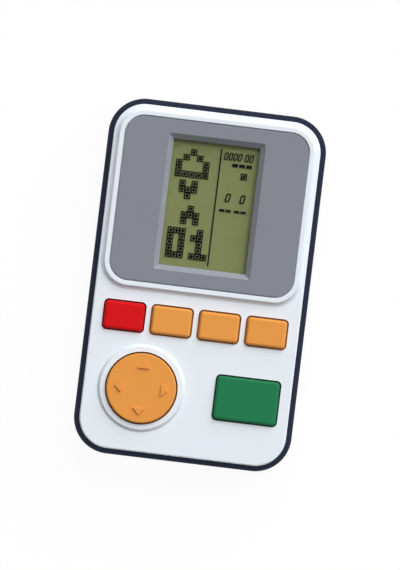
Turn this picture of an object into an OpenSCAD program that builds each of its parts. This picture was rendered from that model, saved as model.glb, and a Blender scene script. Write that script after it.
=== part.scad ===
// Pocket game console with a reflective display, five push keys and a rocking direction disc.
// X runs across the face, Y up along the face and Z out of the face. The back lies on Z = 0.

/* [Case] */
// Width of the rear shell, the widest piece
body_w = 55.4; // [54.4:0.1:64]
// Length of the rear shell
body_l = 90.4; // [89.4:0.1:104]
// Corner radius of the rear shell, seen from the front
body_r = 9.2; // [8.2:0.1:10]
// Height of the seam between the rear and the front shell
seam_z = 11; // [10.6:0.1:11.3]
// Thickness of the back
back_wall = 1.8; // [1.6:0.1:2.4]
// Thickness of the rear shell's side walls
side_wall = 2.2; // [2:0.05:2.4]
// Rounding of the back's edge
back_fillet = 3; // [2:0.25:4]
// Rounding of the rear shell's rim
rim_fillet = 0.4; // [0.3:0.1:0.9]
// Width of the rim that shows round the front shell
ledge_w = 1.45; // [1.2:0.05:1.7]
// Thickness of the front shell's face
front_wall = 1.6; // [1.4:0.1:2]
// Thickness of the front shell's side walls
front_side = 1.5; // [1.3:0.1:1.7]
// Rounding of the front shell's edge
front_fillet = 0.4; // [0.3:0.05:0.45]
// Depth of the lip that locates the front shell in the rear shell
lip_h = 1.2; // [0.8:0.1:1.8]
// Clearance between pieces that slot together
fit = 0.15; // [0.1:0.01:0.2]

/* [Screen] */
// Distance from the front shell's edge to the raised surround
surround_inset = 0.5; // [0.5:0.05:0.8]
// Width of the surround at its foot
surround_w = 2.2; // [2:0.05:2.4]
// Height of the surround above the face
surround_h = 1.25; // [1.15:0.05:1.6]
// Width of the slope on the surround's outer side
surround_slope = 1; // [0.8:0.05:1.1]
// Radius of the hollow in that slope
surround_hollow = 1.6; // [1.4:0.05:2.2]
// Height of the narrow bevel above the slopes of the surround and the collar
rim_bevel = 0.08; // [0.05:0.01:0.12]
// Rounding of the surround's inner edge
surround_inner_fillet = 0.15; // [0.1:0.05:0.3]
// Length of the surround
surround_l = 46.5; // [46:0.05:47]
// Gap between the surround and the grey panel
panel_gap = 0.3; // [0.15:0.05:0.3]
// Thickness of the grey panel
panel_t = 1.15; // [1:0.05:1.4]
// Rounding of the panel's edge
panel_fillet = 0.15; // [0.05:0.05:0.3]
// Width of the visible display
view_w = 22; // [20:0.25:23]
// Length of the visible display
view_l = 32; // [30:0.25:32.5]
// Distance from the surround's upper end to the visible display
view_inset = 7.25; // [6.8:0.05:7.8]
// Width of the bevel round the display
bevel_w = 1.35; // [1:0.05:1.8]
// Corner radius of the bevel's outer edge
bevel_r = 0.9; // [0.5:0.1:1.5]
// Height of the clear window above the front shell's inner face
window_step = 0.4; // [0.3:0.05:0.5]
// Thickness of the clear window
window_t = 0.8; // [0.6:0.05:0.9]
// Width of the window's border under the panel
window_border = 2.2; // [2:0.1:2.6]
// Thickness of one of the display's two glass sheets
glass_t = 0.8; // [0.6:0.05:1]
// Width of the display's border at the top and the sides
glass_border = 2.5; // [2.2:0.1:3]
// Width of the display's border at its lower, contact end
contact_border = 4; // [3.6:0.1:4.4]
// Thickness of the foam pad behind the display
pad_t = 0.5; // [0.4:0.05:0.8]
// Length of that pad along the face
pad_l = 17; // [12:0.5:20]
// Thickness of the fence round the display
fence_w = 0.9; // [0.7:0.05:1.2]

/* [Keys] */
// Width of a row key
key_w = 10; // [9:0.05:10.1]
// Length of a row key
key_l = 7.05; // [6:0.05:8]
// Width of the action key
action_w = 15.85; // [14:0.05:17]
// Length of the action key
action_l = 10.95; // [10:0.05:12]
// Corner radius of the keys
key_r = 0.85; // [0.8:0.05:1.4]
// Rounding of the keys' upper edges
key_fillet = 0.7; // [0.3:0.05:0.75]
// Distance between the row keys
key_pitch = 12.06; // [12:0.02:12.3]
// Middle of the key row along the face
row_y = -10; // [-10.4:0.05:-9.6]
// Middle of the action key along the face
action_y = -27.6; // [-28.5:0.05:-27]
// Gap between a key and its opening
key_gap = 0.42; // [0.3:0.02:0.42]
// Height of the keys above the face
key_rise = 1.25; // [1.2:0.05:2]
// Thickness of the flange that keeps a key in
flange_t = 0.7; // [0.5:0.05:0.9]
// Width of that flange beyond the key's opening
flange_w = 0.4; // [0.3:0.02:0.42]
// Gap between a flange and the front shell
flange_gap = 0.1; // [0.05:0.01:0.2]
// Length of the stem under a key
stem_h = 0.45; // [0.3:0.05:0.7]
// Diameter of that stem
stem_d = 4; // [3:0.1:4.6]

/* [Direction disc] */
// Diameter of the disc
disc_d = 17.64; // [15:0.02:18]
// Place of the disc across the face
disc_x = -11.6; // [-11.9:0.05:-11.3]
// Place of the disc along the face
disc_y = -27.64; // [-28.2:0.05:-27]
// Height of the disc above the face
disc_rise = 2; // [1.9:0.05:2.4]
// Rounding of the disc's upper edge
disc_fillet = 0.4; // [0.2:0.05:0.8]
// Gap between the disc and its opening
disc_gap = 0.4; // [0.35:0.01:0.5]
// Width of the raised collar round the opening
collar_w = 1.9; // [1.8:0.05:2.4]
// Height of the collar
collar_h = 0.8; // [0.75:0.05:1]
// Width of the slope on the collar's outer side
collar_slope = 0.6; // [0.5:0.05:0.9]
// Width of the flange that keeps the disc in
disc_flange_w = 0.75; // [0.6:0.05:0.9]
// Room above the flange to rock
rock_room = 0.95; // [0.9:0.01:0.98]
// Room beside the flange and the post to rock
rock_side = 0.7; // [0.5:0.05:0.9]
// Room between the post and the disc
post_gap = 0.3; // [0.25:0.01:0.4]
// Distance of the arrowheads from the middle of the disc
arrow_at = 5.85; // [5:0.05:6]
// Length of an arrowhead's base
arrow_w = 3.1; // [2.4:0.1:3.6]
// Length of an arrowhead from base to tip
arrow_l = 1.85; // [1.4:0.05:2.2]
// Corner radius of an arrowhead
arrow_r = 0.2; // [0.15:0.05:0.35]
// Height of the arrowheads above the disc
arrow_h = 0.45; // [0.2:0.05:0.5]
// Diameter of the ball on which the disc rocks
ball_d = 3; // [2.8:0.1:3.2]
// Gap round that ball
ball_gap = 0.06; // [0.05:0.01:0.1]
// Thickness of the disc above the ball
disc_top = 1.24; // [1:0.02:1.3]
// Diameter of the post that carries the ball
post_d = 3.8; // [3.6:0.1:4]
// Diameter of the post's foot below the board
post_foot_d = 6; // [5.6:0.1:8]

/* [Batteries] */
// Diameter of a cell
cell_d = 10.5; // [10:0.1:10.5]
// Length of a cell with its tip
cell_l = 44.5; // [43.5:0.1:44.6]
// Diameter of the cell's tip
tip_d = 3.8; // [3.4:0.1:4.2]
// Length of the cell's tip
tip_l = 1; // [0.8:0.05:1.2]
// Gap between the two cells
cell_gap = 0.5; // [0.3:0.05:0.8]
// Distance from the rear shell's upper end to the battery bay
bay_inset = 12.95; // [12.7:0.05:13.4]
// Gap between a cell and the bay
bay_gap = 0.4; // [0.3:0.05:0.5]
// Thickness of the bay's walls
bay_wall = 1; // [0.85:0.05:1.1]
// Thickness of the bay's ceiling
ceiling_t = 1; // [0.8:0.05:1.4]
// Gap between the ceiling and the front shell's sides
roof_gap = 0.35; // [0.2:0.05:0.5]
// Thickness of the sheet metal contacts
contact_t = 0.35; // [0.3:0.01:0.4]
// Width of a contact plate
contact_w = 8.4; // [7.4:0.1:8.8]
// Reach of a contact plate below the cell's axis
plate_down = 4.2; // [3.6:0.1:4.4]
// Reach of a contact plate above the cell's axis
plate_up = 1.45; // [1.3:0.05:1.5]
// Width of the contacts' solder tails
tail_h = 1; // [0.8:0.05:1.05]
// Reach of the tails beyond the bay
tail_out = 1.4; // [1.2:0.1:1.6]
// Height of the pressed bump on a positive contact
bump_h = 0.9; // [0.7:0.05:1]
// Diameter of the bump's foot
bump_d = 2.8; // [2.4:0.1:2.9]
// Length of a fitted contact spring
spring_l = 2.6; // [2.5:0.05:2.7]
// Thickness of the spring wire
wire_d = 0.35; // [0.3:0.01:0.38]
// Diameter of the spring at its plate
spring_d = 5.8; // [5.6:0.1:6.2]
// Diameter of the spring at the cell
spring_tip_d = 2.4; // [2.2:0.1:2.5]
// Number of turns of a spring
spring_turns = 3; // [2:1:3]
// Width of the battery door
door_w = 46.4; // [45.6:0.1:46.6]
// Width of the tongues along the door's sides
tongue_w = 0.8; // [0.6:0.05:0.9]
// Thickness of those tongues
tongue_t = 0.6; // [0.5:0.05:0.7]
// Thickness of the rails above the tongues
rail_t = 0.8; // [0.6:0.05:1]
// Thickness of the floor between the bay and the top end
floor_t = 1.3; // [1:0.1:1.6]
// Length of the door's lap over the back
lap_l = 1.2; // [0.8:0.1:1.6]
// Distance from the door's corners to the lap
lap_side = 3; // [2:0.5:6]
// Distance from the door's edge to its grip grooves
grip_y = 5; // [4:0.5:8]
// Number of grip grooves in the door
grip_count = 5; // [3:1:6]
// Distance between the grip grooves
grip_pitch = 1.8; // [1.6:0.1:2.2]
// Length of the longest grip groove
grip_l = 14; // [10:0.5:18]
// Amount by which each groove is shorter at either end
grip_step = 1.2; // [0.8:0.1:1.2]
// Depth of the grip grooves
grip_depth = 0.4; // [0.2:0.05:0.6]

/* [Electronics] */
// Thickness of the circuit board
board_t = 1.2; // [1:0.05:1.5]
// Gap between the board and the front shell's lower end
board_end_gap = 3.75; // [2.5:0.05:4.1]
// Gap between the board and the battery bay
board_bay_gap = 2.45; // [2:0.05:3.4]
// Corner radius of the board
board_r = 1.5; // [1:0.1:2.5]
// Gap between the board and the front shell's sides
board_gap = 0.6; // [0.4:0.05:0.8]
// Width of the board's border round the key mat
mat_border = 1.2; // [0.8:0.1:1.4]
// Thickness of the key mat's web
mat_t = 0.8; // [0.6:0.05:1]
// Height of the key mat's domes
dome_h = 1.15; // [1:0.05:1.4]
// Diameter of a dome at its foot
dome_d = 5.4; // [4.6:0.1:5.6]
// Diameter of a dome at its top
dome_top_d = 3.6; // [3:0.1:4]
// Gap between a dome and the key on it
dome_gap = 0.05; // [0.02:0.01:0.1]
// Width of the zebra strip
zebra_w = 2.4; // [2:0.1:2.6]
// Place of the chip across the board
chip_x = -1; // [-3:0.5:1]
// Place of the chip along the board
chip_y = -9; // [-11:0.5:-7]
// Diameter of the resin blob over the chip
blob_d = 12; // [9:0.5:13]
// Height of the resin blob
blob_h = 1.8; // [1.2:0.1:2.4]
// Place of the capacitor's foot across the board
cap_x = -17; // [-18:0.5:-16]
// Place of the capacitor along the board
cap_y = -8; // [-10:0.5:-6]
// Diameter of the capacitor
cap_d = 5; // [4:0.1:6]
// Length of the capacitor
cap_l = 8; // [6:0.5:10]
// Place of the first resistor across the board
resistor_x = 10; // [8:0.5:12]
// Place of the resistors along the board
resistor_y = -7; // [-9:0.5:-5]
// Diameter of a resistor
resistor_d = 1.8; // [1.4:0.1:2.2]
// Length of a resistor
resistor_l = 4.2; // [3.4:0.1:5]
// Diameter of the buzzer's plate
buzzer_d = 20; // [16:0.5:21]
// Thickness of the buzzer's plate
buzzer_t = 0.5; // [0.3:0.05:0.8]
// Diameter of the buzzer's ceramic
ceramic_d = 14; // [10:0.5:15]
// Thickness of the buzzer's ceramic
ceramic_t = 0.3; // [0.2:0.05:0.4]
// Place of the buzzer across the back
buzzer_x = 11; // [10.5:0.25:12]
// Place of the buzzer along the back
buzzer_y = -22; // [-23:0.25:-21]
// Height of the ring that the buzzer is glued on
buzzer_ring_h = 1.4; // [1:0.1:2]
// Diameter of a sound hole
sound_d = 1.3; // [1:0.1:1.6]
// Distance between the sound holes
sound_pitch = 2.8; // [2.4:0.1:3.2]
// Diameter of a lead
lead_d = 1; // [0.8:0.05:1.1]
// Gap at a lead's solder joint
solder_gap = 0.05; // [0.03:0.01:0.1]
// Length of a lead's straight end
lead_end = 1.2; // [1:0.05:1.4]

/* [Screws] */
// Diameter of the case screws' thread
screw_d = 1.9; // [1.7:0.05:2.1]
// Diameter of the case screws' heads
head_d = 3.8; // [3.4:0.1:4]
// Height of the case screws' heads
head_h = 1.4; // [1.2:0.1:1.6]
// Length of the case screws' shanks
screw_l = 8; // [7:0.25:8.5]
// Depth from the seam to the case screws' heads
head_seat = 4.5; // [4:0.25:5]
// Outer diameter of the rear shell's screw bosses
boss_d = 6.2; // [5.8:0.1:6.4]
// Outer diameter of the front shell's screw bosses
front_boss_d = 5; // [4.6:0.1:5.2]
// Distance of the screw bosses from the front shell's sides
boss_inset_x = 6.75; // [6.5:0.05:7.3]
// Distance of the screw bosses from the front shell's ends
boss_inset_y = 5.6; // [5.3:0.05:5.7]
// Diameter of the board screws' thread
board_screw_d = 1.4; // [1.2:0.05:1.6]
// Diameter of the board screws' heads
board_head_d = 3.2; // [2.8:0.1:3.4]
// Height of the board screws' heads
board_head_h = 1; // [0.8:0.05:1.3]
// Outer diameter of the front shell's board bosses
board_boss_d = 3.8; // [3.4:0.1:4]
// Distance of the board bosses from the front shell's inner sides
board_boss_inset = 3.7; // [3.5:0.05:3.9]
// Distance of the upper board bosses from the board's edge
board_boss_up = 4; // [3.5:0.1:4.5]
// Distance of the lower board bosses from the middle of the key row
board_boss_down = 7.85; // [7.6:0.05:8.2]
// Length of the board screws in the bosses
board_bite = 2.4; // [2:0.1:2.6]
// Spare depth of a pilot hole
pilot_spare = 0.5; // [0.3:0.05:0.55]
// Depth of a screw's cross recess
cross_depth = 0.7; // [0.5:0.05:0.8]

/* [Hidden] */
$fn = 96;

// Overlap of a cut past the face that it opens
cut = 1;

// Front shell
shell_w = body_w - 2 * ledge_w;
shell_l = body_l - 2 * ledge_w;
shell_r = body_r - ledge_w;
rear_in_w = body_w - 2 * side_wall;
rear_in_l = body_l - 2 * side_wall;
rear_in_r = body_r - side_wall;
front_in_w = shell_w - 2 * front_side;
front_in_l = shell_l - 2 * front_side;
front_in_r = shell_r - front_side;

// Heights, from the back to the face
cell_z = back_wall + bay_gap + cell_d / 2;
bay_top = cell_z + cell_d / 2 + bay_gap / 2;
ceiling_z = bay_top + ceiling_t;
lcd_z = ceiling_z + pad_t;
inner_z = lcd_z + 2 * glass_t;
face_z = inner_z + front_wall;
flange_z = inner_z - flange_gap - flange_t;
stem_z = flange_z - stem_h;
board_z = stem_z - dome_gap - dome_h - mat_t;

// Screen surround, panel and window
surround_w_out = shell_w - 2 * surround_inset;
surround_y1 = shell_l / 2 - surround_inset;
surround_mid = surround_y1 - surround_l / 2;
surround_r = shell_r - surround_inset;
panel_margin = surround_w + panel_gap;
panel_w = surround_w_out - 2 * panel_margin;
panel_l = surround_l - 2 * panel_margin;
panel_r = surround_r - panel_margin;
panel_z = face_z + panel_t;
view_y = surround_y1 - view_inset - view_l / 2;
window_z = inner_z + window_step;
window_top = window_z + window_t;
window_w = view_w + 2 * window_border;
window_l = view_l + 2 * window_border;

// Display
glass_w = view_w + 2 * glass_border;
glass_y0 = view_y - view_l / 2 - contact_border;
glass_y1 = view_y + view_l / 2 + glass_border;
glass_l = glass_y1 - glass_y0;
glass_mid = (glass_y0 + glass_y1) / 2;
zebra_y = glass_y0 + fit + zebra_w / 2;
zebra_l = view_w;
ledge_y = zebra_y + zebra_w / 2 + 2 * fit;

// Keys
row_right = 1.5 * key_pitch + key_w / 2;
action_x = row_right - action_w / 2;
key_top = face_z + key_rise;

// Direction disc
disc_r = disc_d / 2;
disc_hole_r = disc_r + disc_gap;
collar_r = disc_hole_r + collar_w;
disc_flange_r = disc_hole_r + disc_flange_w;
disc_top_z = face_z + disc_rise;
disc_pocket_z = inner_z + collar_h / 2;
disc_flange_z = disc_pocket_z - rock_room - flange_t;
ball_z = disc_top_z - disc_top - ball_gap - ball_d / 2;
socket_r = ball_d / 2 + ball_gap;
post_z = ball_z - ball_d / 4;
post_hole_r = post_d / 2 + rock_side;

// Battery bay: the contacts stand at its ends and the cells lie across the body
bay_half = cell_l / 2 + (bump_h + spring_l) / 2 + contact_t;
cell_shift = (spring_l - bump_h) / 2;
bay_y1 = body_l / 2 - bay_inset;
cell_b_y = bay_y1 - bay_gap - cell_d / 2;
cell_a_y = cell_b_y - cell_d - cell_gap;
bay_y0 = cell_a_y - cell_d / 2 - bay_gap;
bay_y = (bay_y0 + bay_y1) / 2;
bay_roof_half = front_in_w / 2 - roof_gap;
bay_end_z = seam_z - fit;
pocket_z = bay_end_z - bay_wall / 2;
plate_z0 = cell_z - plate_down;
plate_z1 = cell_z + plate_up;
tail_z1 = pocket_z - fit;
tail_y = bay_y0 - bay_wall - tail_out;

// Battery door
door_y = bay_y0 - bay_wall + 2 * fit;
door_gap = fit;
tongue_z = back_wall / 2 - tongue_t / 2;
rail_z = back_wall + rail_t;

// Screws
case_boss_x = shell_w / 2 - boss_inset_x;
case_boss_y = shell_l / 2 - boss_inset_y;
case_screw_xy = [for (x = [-case_boss_x, case_boss_x], y = [-case_boss_y, case_boss_y]) [x, y]];
head_z = seam_z - head_seat;
board_y0 = board_end_gap - front_in_l / 2;
board_y1 = bay_y0 - bay_wall - board_bay_gap;
board_boss_x = front_in_w / 2 - board_boss_inset;
board_screw_xy = [
    for (x = [-board_boss_x, board_boss_x], y = [board_y1 - board_boss_up, row_y - board_boss_down]) [x, y]
];
board_under = board_z - board_t;

// Colours
navy = [0.16, 0.18, 0.24];
white = [0.9, 0.91, 0.93];
grey = [0.52, 0.53, 0.57];
olive = [0.45, 0.48, 0.32];
red = [0.82, 0.11, 0.12];
orange = [0.89, 0.6, 0.29];
green = [0.16, 0.48, 0.32];
steel = [0.75, 0.76, 0.78];
nickel = [0.8, 0.78, 0.72];
brass = [0.78, 0.62, 0.3];
black = [0.08, 0.08, 0.09];
board_green = [0.15, 0.36, 0.2];
silicone = [0.78, 0.78, 0.75];
foam = [0.25, 0.25, 0.26];
blue = [0.15, 0.28, 0.55];
tan_body = [0.8, 0.68, 0.5];

// What a rounded corner of radius f leaves over of its square
module corner_cut(f) {
    difference() {
        square(f);
        circle(f);
    }
}

// Half section of a slab: r wide from the corner's centre and h high, with rounded edges
module edge(r, h, top_f, base_f) {
    difference() {
        square([r, h]);
        if (top_f > 0) translate([r - top_f, h - top_f]) corner_cut(top_f);
        if (base_f > 0) translate([r - base_f, base_f]) mirror([0, 1]) corner_cut(base_f);
    }
}

// Section of a raised rim from x0 to x1: its outer side slopes in above the foot and ends in a narrow bevel
module rim_section(x0, x1, foot, h, slope) {
    x2 = x1 - slope;
    top = foot + h;
    polygon([
        [x0, 0], [x1, 0], [x1, foot], [x2, top - rim_bevel], [x2 - 2 * rim_bevel, top], [x0, top]
    ]);
}

// A section carried round a rectangle of w by l with corner radius r
module around(w, l, r) {
    corners = [[1, 1], [-1, 1], [-1, -1], [1, -1]];
    for (i = [0:3])
        translate([corners[i].x * (w / 2 - r), corners[i].y * (l / 2 - r), 0]) {
            rotate(90 * i) rotate_extrude(angle = 90) children();
            rotate([90, 0, 90 * i]) linear_extrude(i % 2 == 0 ? l - 2 * r : w - 2 * r) children();
        }
}

// Slab with rounded corners and, if asked for, rounded upper and lower edges
module slab(w, l, r, h, top_f = 0, base_f = 0) {
    around(w, l, r) edge(r, h, top_f, base_f);
    translate([r - w / 2, r - l / 2, 0]) cube([w - 2 * r, l - 2 * r, h]);
}

// Block between two corners
module block(low, high) {
    translate(low) cube(high - low);
}

// Column from z0 to z1
module column(at, d, z0, z1) {
    translate([at.x, at.y, z0]) cylinder(d = d, h = z1 - z0);
}

// Section of a funnel: w wide above z1 and narrower by inset at either side below z0
module funnel_section(w, inset, z0, z1) {
    right = [[w / 2 - inset, z0 - cut], [w / 2 - inset, z0], [w / 2, z1], [w / 2, z1 + cut]];
    left = [for (i = [len(right) - 1:-1:0]) [-right[i].x, right[i].y]];
    polygon(concat(right, left));
}

// Opening with walls that slope in from w by l at z1 to less 2 * inset at z0
module funnel(w, l, inset, z0, z1) {
    intersection() {
        rotate([90, 0, 0]) linear_extrude(l + 2 * cut, center = true) funnel_section(w, inset, z0, z1);
        rotate([90, 0, 90]) linear_extrude(w + 2 * cut, center = true) funnel_section(l, inset, z0, z1);
    }
}

// Frames along a path, each turned no more than the path itself turns
function unit(v) = v / norm(v);
function tangent(p, i) = unit(p[min(i + 1, len(p) - 1)] - p[max(i - 1, 0)]);
function square_to(t) = unit(cross(t, abs(t.x) < 0.7 ? [1, 0, 0] : [0, 0, 1]));
function normals(p, i = 0, last = undef) =
    i >= len(p) ? [] :
    let (t = tangent(p, i), n = is_undef(last) ? square_to(t) : unit(last - (last * t) * t))
    concat([n], normals(p, i + 1, n));

// Round tube of diameter d along a path
module tube(path, d, sides) {
    n = normals(path);
    rings = len(path);
    points = [
        for (i = [0:rings - 1]) let (t = tangent(path, i), m = cross(t, n[i]))
            for (k = [0:sides - 1]) path[i] + d / 2 * (cos(360 * k / sides) * n[i] + sin(360 * k / sides) * m)
    ];
    walls = [
        for (i = [0:rings - 2], k = [0:sides - 1])
            let (a = i * sides + k, b = i * sides + (k + 1) % sides)
                each [[a, a + sides, b + sides], [a, b + sides, b]]
    ];
    caps = [
        for (k = [1:sides - 2]) each [[0, k, k + 1], (rings - 1) * sides * [1, 1, 1] + [0, k + 1, k]]
    ];
    polyhedron(points, concat(walls, caps));
}

// Smooth curve through a list of points, with steps points on each stretch
function spline(p, steps) = concat(
    [for (i = [0:len(p) - 2], k = [0:steps - 1])
        let (a = p[max(i - 1, 0)], b = p[i], c = p[i + 1], d = p[min(i + 2, len(p) - 1)], t = k / steps)
            b + (c - a) * t / 2
                + (2 * a - 5 * b + 4 * c - d) * t * t / 2
                + (3 * b - a - 3 * c + d) * t * t * t / 2],
    [p[len(p) - 1]]
);

// Battery bay and door guides inside the rear shell, before they are cut out
module bay_block() {
    out = rear_in_w / 2 + side_wall / 2;
    floor_h = back_wall / 2 + door_gap + floor_t;
    block([-out, bay_y0 - bay_wall, back_wall], [out, bay_y1 + bay_wall, bay_end_z]);
    block([-bay_roof_half, bay_y0 - bay_wall, back_wall], [bay_roof_half, bay_y1 + bay_wall, ceiling_z]);
    intersection() {
        translate([0, 0, back_wall / 2])
            slab(2 * out, rear_in_l + side_wall, rear_in_r + side_wall / 2, floor_h);
        block([-out, bay_y1, 0], [out, body_l, seam_z]);
    }
}

module bay_cut() {
    block([-bay_half, bay_y0, rail_z], [bay_half, bay_y1, pocket_z]);
    block([bay_wall - bay_roof_half, bay_y0, rail_z], [bay_roof_half - bay_wall, bay_y1, bay_top]);
    block([-door_w / 2 - door_gap, bay_y0, 0], [door_w / 2 + door_gap, bay_y1, bay_top]);
    block([bay_half - contact_t - fit, bay_y0 - bay_wall - cut, plate_z1 - 2 * tail_h - fit],
        [bay_half, bay_y0 + cut, pocket_z]);
}

module door_cut() {
    half = door_w / 2 + door_gap;
    groove_half = half + tongue_w;
    block([-half, door_y - door_gap, -cut], [half, body_l, back_wall + door_gap]);
    block([-groove_half, door_y - door_gap, tongue_z - door_gap],
        [groove_half, body_l, tongue_z + tongue_t + door_gap]);
    block([lap_side - half, door_y - lap_l - door_gap, back_wall / 2 - door_gap],
        [half - lap_side, door_y, back_wall + cut]);
}

module sound_holes() {
    ring = [for (a = [0:60:300]) sound_pitch * [cos(a), sin(a)]];
    translate([buzzer_x, buzzer_y, 0])
        for (p = concat([[0, 0]], ring)) column(p, sound_d, -cut, back_wall + cut);
}

module rear_shell() {
    inner_fillet = max(back_fillet - back_wall, rim_fillet);
    color(navy) difference() {
        union() {
            difference() {
                slab(body_w, body_l, body_r, seam_z, rim_fillet, back_fillet);
                translate([0, 0, back_wall])
                    slab(rear_in_w, rear_in_l, rear_in_r, seam_z, 0, inner_fillet);
            }
            bay_block();
            for (p = case_screw_xy) column(p, boss_d, back_wall / 2, seam_z);
            column([disc_x, disc_y], post_foot_d, back_wall / 2, board_under - fit);
            column([disc_x, disc_y], post_d, back_wall / 2, post_z);
            translate([buzzer_x, buzzer_y, back_wall / 2]) difference() {
                cylinder(d = buzzer_d, h = back_wall / 2 + buzzer_ring_h);
                cylinder(d = buzzer_d - 2 * bay_wall, h = seam_z);
            }
        }
        bay_cut();
        door_cut();
        sound_holes();
        for (p = case_screw_xy) {
            column(p, head_d + 2 * fit, -cut, head_z);
            column(p, screw_d + 2 * fit, head_z - cut, seam_z + cut);
        }
        translate([disc_x, disc_y, ball_z]) sphere(socket_r);
    }
}

module battery_door() {
    half = door_w / 2;
    tongue_half = half + tongue_w;
    lap_half = half - lap_side;
    color(navy) difference() {
        union() {
            intersection() {
                slab(body_w, body_l, body_r, seam_z, rim_fillet, back_fillet);
                union() {
                    block([-half, door_y, 0], [half, body_l, back_wall]);
                    block([-tongue_half, door_y, tongue_z], [tongue_half, body_l, tongue_z + tongue_t]);
                }
            }
            block([-lap_half, door_y - lap_l, back_wall / 2], [lap_half, door_y + cut, back_wall]);
        }
        for (i = [0:grip_count - 1])
            translate([0, door_y + grip_y + i * grip_pitch, -cut])
                slab(grip_l - 2 * i * grip_step, grip_pitch / 2, grip_pitch / 5, grip_depth + cut);
    }
}

module surround() {
    foot = front_wall / 2;
    x0 = surround_r - surround_w;
    slope_h = surround_h - rim_bevel;
    half_slope = norm([surround_slope, slope_h]) / 2;
    hollow_out = sqrt(pow(surround_hollow, 2) - pow(half_slope, 2)) / (2 * half_slope);
    slope_mid = [surround_r - surround_slope / 2, foot + slope_h / 2];
    hollow_mid = slope_mid + hollow_out * [slope_h, surround_slope];
    translate([0, surround_mid, face_z - foot])
        around(surround_w_out, surround_l, surround_r) difference() {
            rim_section(x0, surround_r, foot, surround_h, surround_slope);
            translate([x0 + surround_inner_fillet, foot + surround_h - surround_inner_fillet])
                mirror([1, 0]) corner_cut(surround_inner_fillet);
            translate(hollow_mid) circle(surround_hollow);
        }
}

module lip() {
    lip_top = bay_y0 - bay_wall - lip_h;
    out_w = rear_in_w - 2 * fit;
    out_l = rear_in_l - 2 * fit;
    out_r = rear_in_r - fit;
    difference() {
        translate([0, 0, seam_z - lip_h]) slab(out_w, out_l, out_r, lip_h + cut);
        translate([0, 0, seam_z - lip_h - cut]) slab(front_in_w, front_in_l, front_in_r, lip_h + 3 * cut);
        block([-body_w, lip_top, 0], [body_w, body_l, face_z]);
    }
}

module key_opening(x, y, w, l) {
    translate([x, y, inner_z - cut])
        slab(w + 2 * key_gap, l + 2 * key_gap, key_r + key_gap, front_wall + 2 * cut);
}

// Fence that holds the display, open at the display's contact end
module display_fence() {
    wall = fit + fence_w;
    h = inner_z - lcd_z - glass_t / 2;
    translate([0, glass_mid, inner_z - h]) difference() {
        slab(glass_w + 2 * wall, glass_l + 2 * wall, fence_w, h + front_wall / 2);
        translate([0, 0, -cut]) slab(glass_w + 2 * fit, glass_l + 2 * fit, fit, h + cut);
        block([-glass_w, -glass_l, -cut], [glass_w, contact_border - glass_l / 2, h]);
    }
}

module front_shell() {
    color(white) difference() {
        union() {
            difference() {
                translate([0, 0, seam_z]) slab(shell_w, shell_l, shell_r, face_z - seam_z, front_fillet);
                translate([0, 0, seam_z - cut])
                    slab(front_in_w, front_in_l, front_in_r, inner_z - seam_z + cut, front_fillet);
            }
            lip();
            surround();
            translate([disc_x, disc_y, inner_z]) rotate_extrude()
                rim_section(0, collar_r, front_wall, collar_h, collar_slope);
            for (p = case_screw_xy) column(p, front_boss_d, seam_z, inner_z + front_wall / 2);
            for (p = board_screw_xy) column(p, board_boss_d, board_z, inner_z + front_wall / 2);
            display_fence();
        }
        translate([0, view_y, window_z])
            slab(window_w + 2 * fit, window_l + 2 * fit, bevel_r, front_wall + surround_h);
        translate([0, view_y, inner_z - cut])
            slab(view_w + bevel_w / 2, view_l + bevel_w / 2, bevel_r, front_wall + surround_h);
        for (i = [0:3]) key_opening((i - 1.5) * key_pitch, row_y, key_w, key_l);
        key_opening(action_x, action_y, action_w, action_l);
        column([disc_x, disc_y], 2 * disc_hole_r, seam_z, face_z + surround_h);
        column([disc_x, disc_y], 2 * (disc_flange_r + rock_side), seam_z, disc_pocket_z);
        for (p = case_screw_xy) column(p, screw_d + fit, seam_z - cut, head_z + screw_l + pilot_spare);
        for (p = board_screw_xy)
            column(p, board_screw_d + fit, board_z - cut, board_z + board_bite + pilot_spare);
    }
}

module screen_panel() {
    color(grey) translate([0, 0, face_z]) difference() {
        union() {
            translate([0, surround_mid, 0]) slab(panel_w, panel_l, panel_r, panel_t, panel_fillet);
            translate([0, view_y, window_top - face_z])
                slab(window_w, window_l, bevel_r - fit, face_z - window_top + panel_t / 2);
        }
        translate([0, view_y, 0]) intersection() {
            funnel(view_w + 2 * bevel_w, view_l + 2 * bevel_w, bevel_w, window_top - face_z, panel_t);
            translate([0, 0, window_top - face_z - cut])
                slab(view_w + 2 * bevel_w, view_l + 2 * bevel_w, bevel_r, panel_z + cut);
        }
    }
}

module screen_window() {
    color([0.85, 0.9, 0.92, 0.3]) translate([0, view_y, window_z])
        slab(window_w, window_l, bevel_r - fit, window_t);
}

module lcd_glass() {
    color(olive) {
        block([-glass_w / 2, glass_y0, lcd_z + glass_t], [glass_w / 2, glass_y1, inner_z]);
        block([-glass_w / 2, ledge_y, lcd_z], [glass_w / 2, glass_y1, lcd_z + glass_t]);
    }
}

module lcd_pad() {
    color(foam) translate([0, bay_y, ceiling_z]) slab(view_w, pad_l, bevel_r, pad_t);
}

module zebra_strip() {
    color([0.85, 0.55, 0.6]) block(
        [-zebra_l / 2, zebra_y - zebra_w / 2, board_z],
        [zebra_l / 2, zebra_y + zebra_w / 2, lcd_z + glass_t]);
}

// Room for the lower case bosses in the corners of the board and of the mat
module boss_notches() {
    for (x = [0, 1]) mirror([x, 0, 0])
        block([case_boss_x - boss_d / 2 - board_gap, -body_l, 0],
            [body_w, boss_d / 2 + board_gap - case_boss_y, face_z]);
}

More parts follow.
